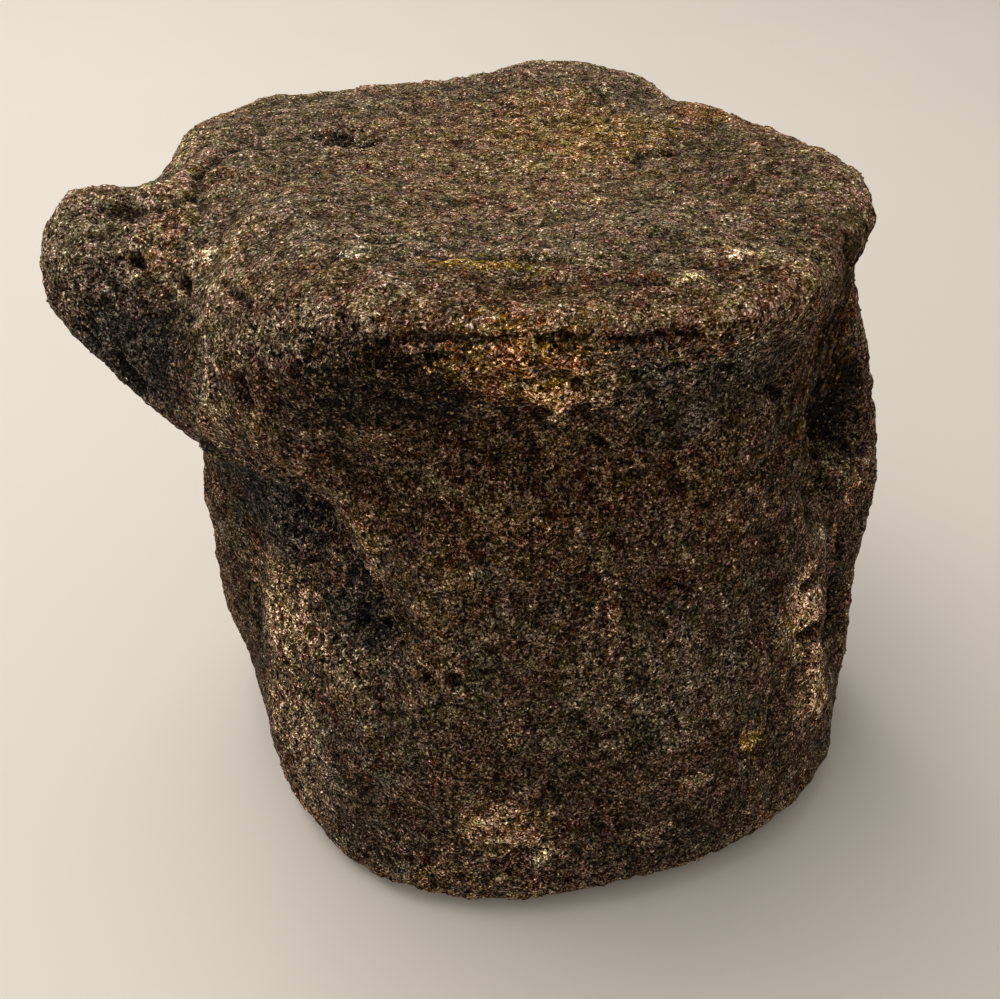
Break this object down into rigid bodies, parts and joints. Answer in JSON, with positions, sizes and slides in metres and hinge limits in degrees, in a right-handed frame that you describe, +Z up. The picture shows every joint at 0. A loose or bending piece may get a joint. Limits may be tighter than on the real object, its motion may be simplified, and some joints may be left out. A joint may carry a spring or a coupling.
{
  "type": "fossil whale vertebra",
  "caption": "Worn fossil whale vertebra: a thick round centrum on end, with a stub of one transverse process, the scars of its lost arch and a spongy, pitted surface.",
  "frame": {"origin": "on the floor under the middle of the bone's bounding box", "axes": "+Z up along the spine's own line from the rear face to the front face, -Y towards the animal's back and the neural canal's floor, -X towards the animal's left, with the stub of the transverse process"},
  "size_m": [0.203, 0.1828, 0.1543],
  "materials": {
    "fossil_bone": "matte, coarse, open-pored fossil bone in mottled grey-brown with ochre, rust and tan stains"
  },
  "bodies": {
    "root": {"vertebra": "fossil_bone"}
  },
  "joints": []
}
